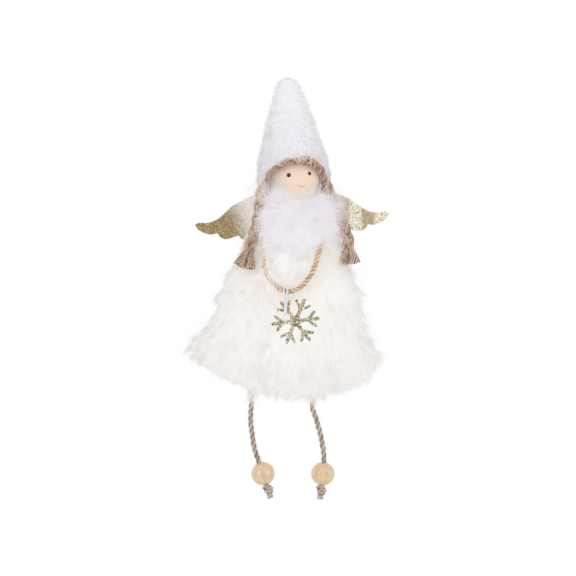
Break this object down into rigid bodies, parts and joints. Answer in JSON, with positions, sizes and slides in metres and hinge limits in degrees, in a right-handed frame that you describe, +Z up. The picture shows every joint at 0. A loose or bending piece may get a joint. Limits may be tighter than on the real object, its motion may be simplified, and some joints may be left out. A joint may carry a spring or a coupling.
{
  "type": "hanging plush doll",
  "caption": "Hanging plush angel doll: stuffed bell dress, ball head under a pointed hat, braids, fluffy scarf, glitter wings, snowflake necklace and dangling twine legs with beads.",
  "frame": {"origin": "the hat's tip, where the doll hangs", "axes": "+Z up along the doll, +X to the viewer's right, -Y the way the doll faces"},
  "size_m": [0.0831, 0.0392, 0.1773],
  "materials": {
    "hat_plush": "short cut pile",
    "dress_plush": "long cut pile",
    "scarf_down": "fine loose down",
    "fibre_fill": "matte fibre",
    "hair_twine": "matte twisted yarn",
    "leg_twine": "matte twisted twine",
    "gold_twine": "matte twisted twine",
    "white_thread": "matte thread",
    "painted_wood": "satin paint",
    "bare_wood": "bare",
    "varnished_wood": "gloss varnish",
    "wing_glitter": "glitter coating that fades to white at the middle",
    "snowflake_glitter": "glitter coating"
  },
  "bodies": {
    "doll": {"hat": "hat_plush", "hat_stuffing": "fibre_fill", "head_ball": "painted_wood", "neck_peg": "bare_wood", "hair_fringe": "hair_twine", "body_stuffing": "fibre_fill", "dress_front": "dress_plush", "dress_back": "dress_plush", "fluff_scarf": "scarf_down", "wings": "wing_glitter", "left_leg_anchor": "leg_twine", "right_leg_anchor": "leg_twine"},
    "left_braid": {"left_plait_strand_1": "hair_twine", "left_plait_strand_2": "hair_twine", "left_plait_strand_3": "hair_twine"},
    "right_braid": {"right_plait_strand_1": "hair_twine", "right_plait_strand_2": "hair_twine", "right_plait_strand_3": "hair_twine"},
    "necklace": {"necklace_cord": "gold_twine"},
    "pendant": {"pendant_thread": "white_thread"},
    "flake": {"snowflake": "snowflake_glitter"},
    "left_hip": {"left_leg_root": "leg_twine"},
    "left_leg": {"left_leg_cord": "leg_twine", "left_knot": "leg_twine"},
    "left_foot": {"left_bead": "varnished_wood"},
    "right_hip": {"right_leg_root": "leg_twine"},
    "right_leg": {"right_leg_cord": "leg_twine", "right_knot": "leg_twine"},
    "right_foot": {"right_bead": "varnished_wood"}
  },
  "joints": [
    {"name": "left_braid_lift", "type": "hinge", "parent": "doll", "child": "left_braid", "pos_m": [-0.0109, -0.0054, -0.048], "axis": [0, 1, 0], "range_deg": [0, 50]},
    {"name": "right_braid_lift", "type": "hinge", "parent": "doll", "child": "right_braid", "pos_m": [0.0178, -0.0046, -0.0476], "axis": [0, -1, 0], "range_deg": [0, 50]},
    {"name": "necklace_lift", "type": "hinge", "parent": "doll", "child": "necklace", "pos_m": [0.0025, -0.0116, -0.064], "axis": [-1, 0, 0], "range_deg": [0, 60]},
    {"name": "pendant_swing", "type": "hinge", "parent": "necklace", "child": "pendant", "pos_m": [-0.0006, -0.0196, -0.0892], "axis": [-1, 0, 0], "range_deg": [0, 70]},
    {"name": "snowflake_turn", "type": "hinge", "parent": "pendant", "child": "flake", "pos_m": [-0.0006, -0.0196, -0.0991], "axis": [0, 1, 0], "range_deg": [-10, 60]},
    {"name": "left_leg_swing", "type": "hinge", "parent": "doll", "child": "left_hip", "pos_m": [-0.01489, 0, -0.13249], "axis": [1, 0, 0], "range_deg": [-75, 75]},
    {"name": "left_leg_sway", "type": "hinge", "parent": "left_hip", "child": "left_leg", "pos_m": [-0.01489, 0, -0.13644], "axis": [0, 1, 0], "range_deg": [-10, 45]},
    {"name": "left_bead_spin", "type": "hinge", "parent": "left_leg", "child": "left_foot", "pos_m": [-0.01009, 0, -0.16574], "axis": [0.3256, 0, -0.9455], "continuous": true},
    {"name": "right_leg_swing", "type": "hinge", "parent": "doll", "child": "right_hip", "pos_m": [0.01066, 0, -0.13406], "axis": [1, 0, 0], "range_deg": [-75, 75]},
    {"name": "right_leg_sway", "type": "hinge", "parent": "right_hip", "child": "right_leg", "pos_m": [0.01066, 0, -0.138], "axis": [0, -1, 0], "range_deg": [-10, 45]},
    {"name": "right_bead_spin", "type": "hinge", "parent": "right_leg", "child": "right_foot", "pos_m": [0.01507, 0, -0.16581], "axis": [-0.0872, 0, -0.9962], "continuous": true}
  ]
}
